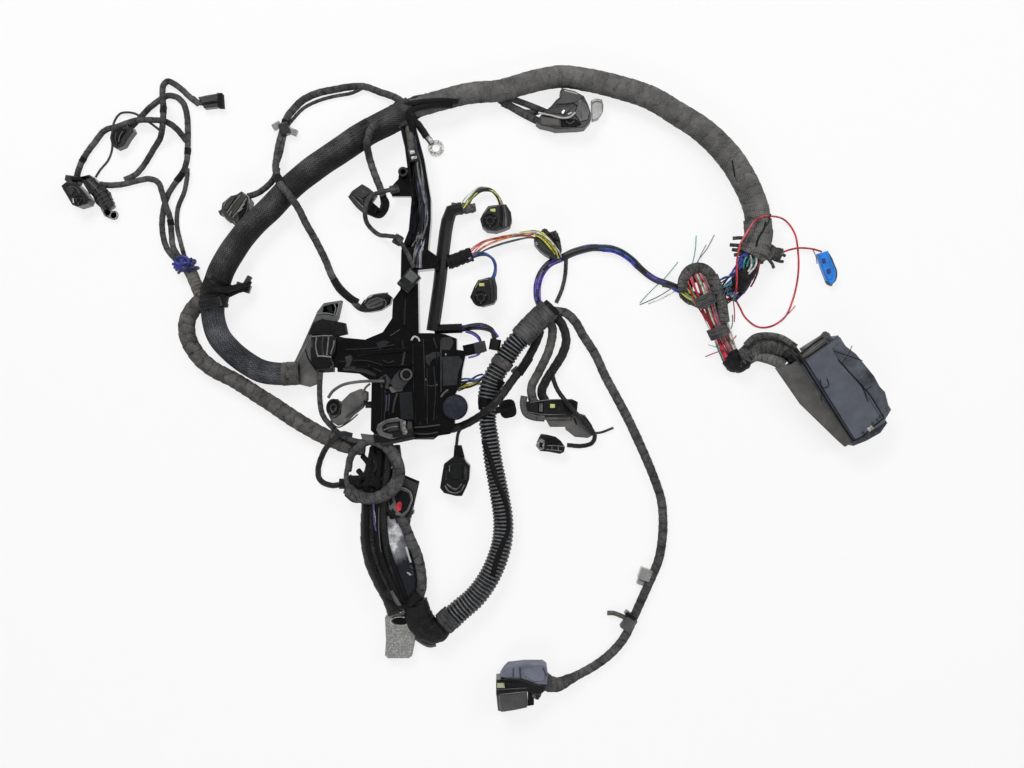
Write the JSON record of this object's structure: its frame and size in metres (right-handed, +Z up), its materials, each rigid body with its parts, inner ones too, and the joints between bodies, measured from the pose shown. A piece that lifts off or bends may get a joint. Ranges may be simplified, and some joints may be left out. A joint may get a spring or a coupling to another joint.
{
  "type": "engine wiring harness",
  "caption": "Engine wiring harness laid flat: braided trunk, moulded duct, ridged conduit, taped branches and plugs at the ends of its leads.",
  "frame": {"origin": "middle of the floor print of the harness as it lies, on the floor", "axes": "+X to the right along the widest spread, towards the control unit plug; +Y towards the top of the main trunk's arc; +Z up from the floor"},
  "size_m": [0.8968, 0.7032, 0.0386],
  "materials": {
    "gloss_duct": "moulded, glossy near-black",
    "black_plug": "moulded black plastic",
    "grey_bracket": "moulded grey plastic",
    "braid": "woven braided sleeve",
    "cloth_tape": "wound cloth tape, warm grey",
    "dark_tape": "wound cloth tape, near black",
    "cord_tape": "thin wound tape over wires",
    "conduit": "ridged plastic conduit",
    "ecu_plastic": "blue-grey moulded plastic",
    "blue_plastic": "blue moulded plastic",
    "red_wire": "red wire insulation",
    "violet_wire": "violet and blue wire insulation",
    "aluminium": "rough cast, speckled",
    "tinned": "tinned",
    "navy_tie": "nylon"
  },
  "bodies": {
    "root": {"main_duct": "gloss_duct", "coil_rail_duct": "gloss_duct", "sleeve_bracket": "grey_bracket", "aluminium_bracket": "aluminium", "ring_terminal": "tinned", "ecu_plug_housing": "ecu_plastic", "sensor_plug_far_left": "black_plug", "left_round_plug": "black_plug", "left_block_plug": "black_plug", "left_boss_plug": "black_plug", "ribbed_plug": "black_plug", "upper_sensor_plug": "black_plug", "oval_plug": "black_plug", "bracket_plug": "black_plug", "duct_side_plug": "black_plug", "film_side_plug": "black_plug", "loop_plug": "black_plug", "injector_plug": "black_plug", "two_row_plug": "black_plug", "silver_mouth_plug": "black_plug", "cable_end_plug": "black_plug", "branch_plug": "black_plug", "blue_plug": "blue_plastic", "coil_plug_upper": "black_plug", "coil_plug_middle": "black_plug", "coil_plug_branch": "black_plug", "flat_oval_plug": "black_plug", "trunk_sleeve_upper": "braid", "trunk_sleeve_lower": "braid", "trunk_tape_wrap": "cloth_tape", "left_loom": "cloth_tape", "lower_loom": "dark_tape", "sleeve_tie_band": "dark_tape", "conduit_upper": "conduit", "conduit_lower": "conduit", "elbow_wrap": "dark_tape", "trunk_end_boot": "cloth_tape", "wire_fan": "dark_tape", "bundle_knot_wrap": "cloth_tape", "exposed_wire_bundle": "red_wire", "ecu_lead_wrap": "dark_tape", "right_cable": "cord_tape", "blue_tie": "navy_tie", "sensor_lead_upper_left": "cord_tape", "upper_sensor_lead": "cord_tape", "thin_branch_lead": "cord_tape", "ring_terminal_lead": "cord_tape", "left_cord_outer": "cord_tape", "left_cord_middle": "cord_tape", "duct_side_leads": "cord_tape", "film_side_lead": "dark_tape", "side_loom": "dark_tape", "flat_strap_lead": "cloth_tape", "strap_lead_black": "dark_tape", "violet_bundle": "violet_wire", "branch_plug_lead": "cord_tape", "coil_lead_upper": "violet_wire", "coil_leads": "violet_wire", "red_wire_loop": "red_wire", "blue_plug_wire": "red_wire"}
  },
  "joints": []
}
